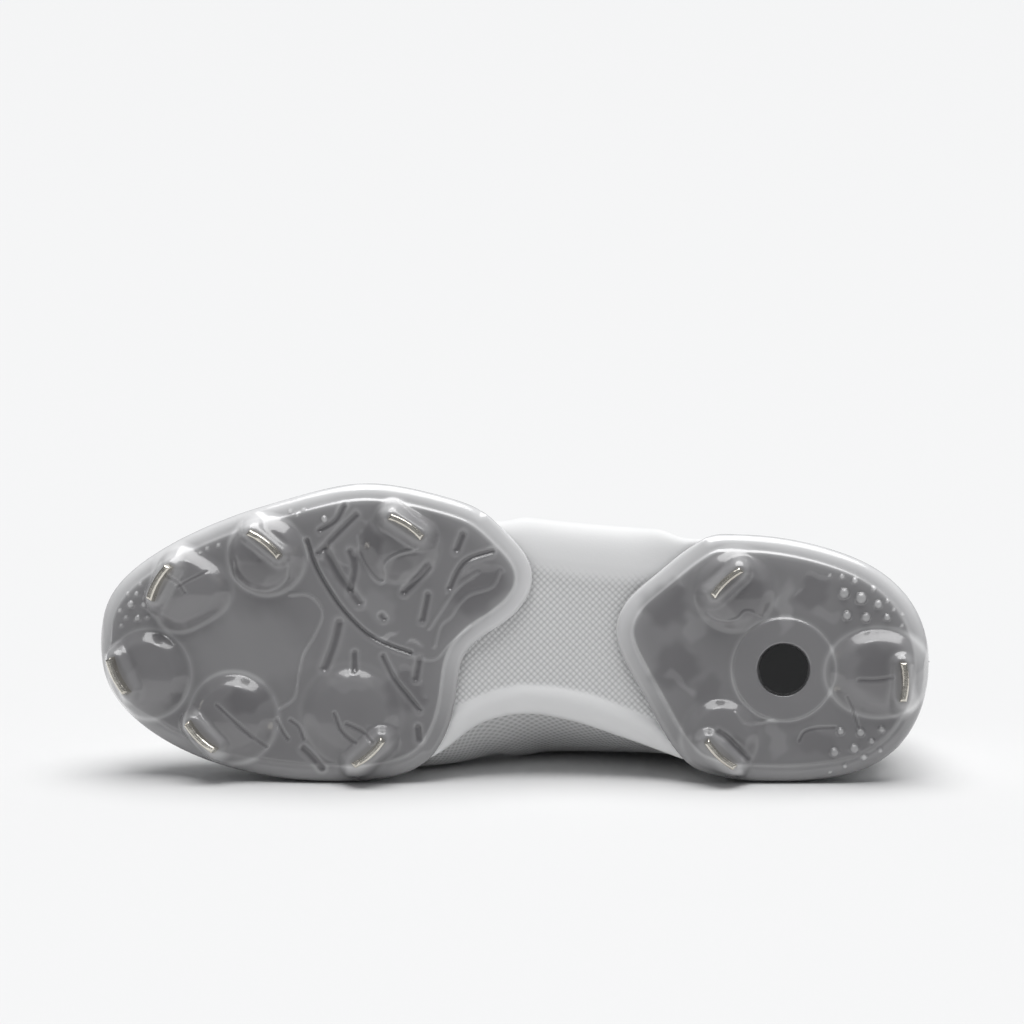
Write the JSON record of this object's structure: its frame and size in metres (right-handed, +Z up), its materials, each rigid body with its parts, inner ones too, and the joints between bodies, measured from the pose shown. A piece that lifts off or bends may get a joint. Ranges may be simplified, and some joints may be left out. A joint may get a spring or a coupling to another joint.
{
  "type": "baseball cleat",
  "caption": "Low left baseball cleat lying on its inner side, sole facing out, with moulded plates, curved metal studs, foam midsole, lasted upper, tongue and laces.",
  "frame": {"origin": "on the surface that the shoe lies on, under the middle of its bounding box", "axes": "+X towards the heel (toe at -X), +Y from the sole to the collar, +Z up, which is the shoe's outer side"},
  "size_m": [0.3016, 0.1408, 0.1058],
  "materials": {
    "upper_mesh": "fine knitted mesh, matt, pale grey and white",
    "eyestay_film": "thin smooth film, satin",
    "tongue_cloth": "padded spacer cloth, matt",
    "insole_foam": "cloth over foam, matt",
    "midsole_foam": "moulded foam with a fine diamond texture, satin",
    "plate_plastic": "clear grey moulded plastic, high gloss",
    "badge_black": "plain black disc, gloss",
    "stud_steel": "bright rolled steel, lightly brushed",
    "lace_cord": "round braided lace, matt"
  },
  "bodies": {
    "root": {"upper": "upper_mesh", "eyestay": "eyestay_film", "tongue": "tongue_cloth", "insole": "insole_foam", "midsole": "midsole_foam", "forefoot_plate": "plate_plastic", "heel_plate": "plate_plastic", "heel_badge": "badge_black", "stud_toe_inner": "stud_steel", "stud_toe_outer": "stud_steel", "stud_fore_outer": "stud_steel", "stud_fore_inner": "stud_steel", "stud_ball_outer": "stud_steel", "stud_ball_inner": "stud_steel", "stud_heel_outer": "stud_steel", "stud_heel_inner": "stud_steel", "stud_heel_rear": "stud_steel", "lace_crossing_1": "lace_cord", "lace_crossing_2": "lace_cord", "lace_crossing_3": "lace_cord", "lace_crossing_4": "lace_cord", "lace_crossing_5": "lace_cord"}
  },
  "joints": []
}
